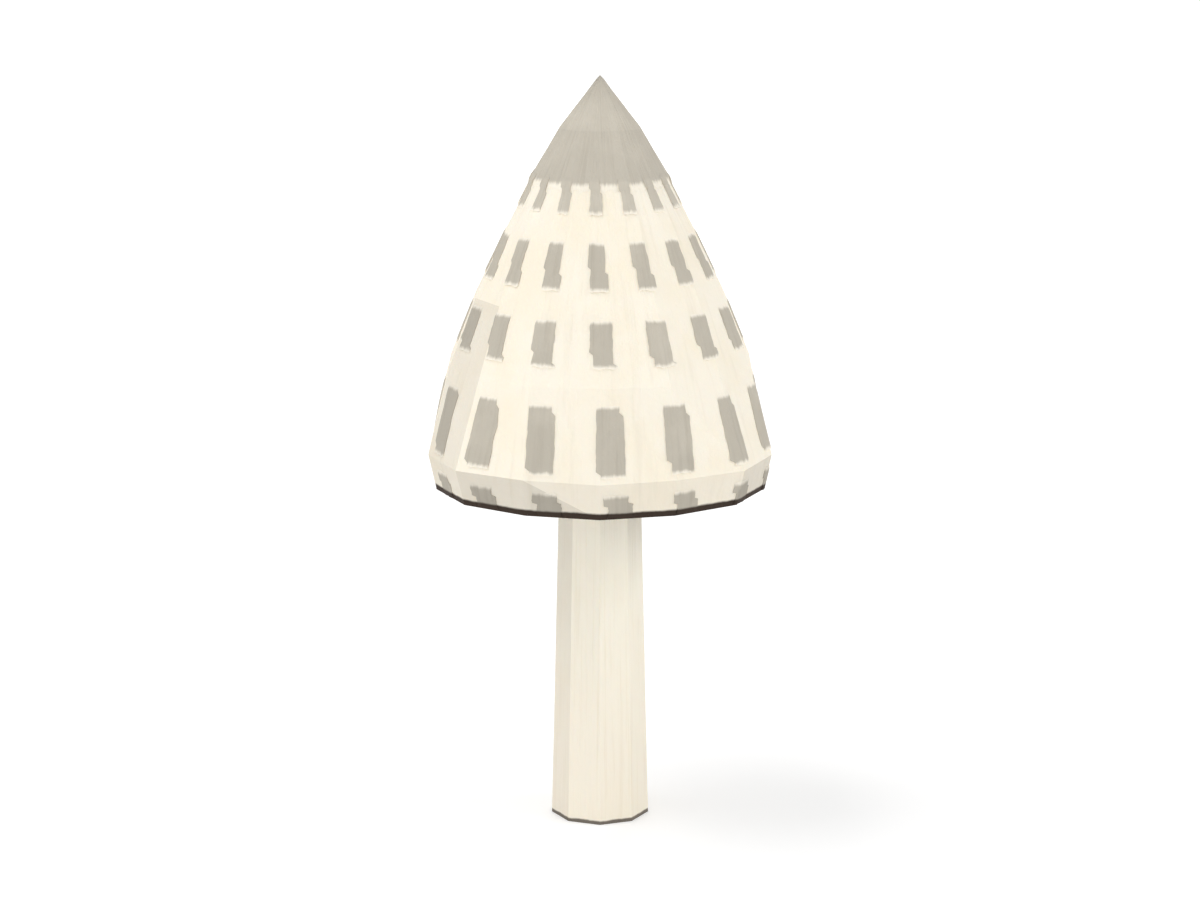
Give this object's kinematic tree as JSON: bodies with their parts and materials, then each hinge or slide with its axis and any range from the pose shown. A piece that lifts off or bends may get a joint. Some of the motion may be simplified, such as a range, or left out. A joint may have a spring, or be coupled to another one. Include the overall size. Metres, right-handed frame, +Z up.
{
  "type": "shaggy ink cap",
  "caption": "Upright shaggy ink cap mushroom: a bell-shaped cap with a pointed smooth top and torn scales, free gills inside it, on a long stem that stands on its flat cut base.",
  "frame": {"origin": "middle of the stem's flat cut base, which is also the bottom centre of the whole mushroom's box", "axes": "+Z up the stem to the cap's point; -Y the front, where a corner of the cap and a corner of the stem face; +X to the right as seen from the front"},
  "size_m": [0.0679, 0.0696, 0.15],
  "materials": {
    "cap_flesh": "matte",
    "gill_flesh": "matte",
    "stem_flesh": "matte"
  },
  "bodies": {
    "root": {"cap": "cap_flesh", "gills": "gill_flesh", "stem": "stem_flesh"}
  },
  "joints": []
}
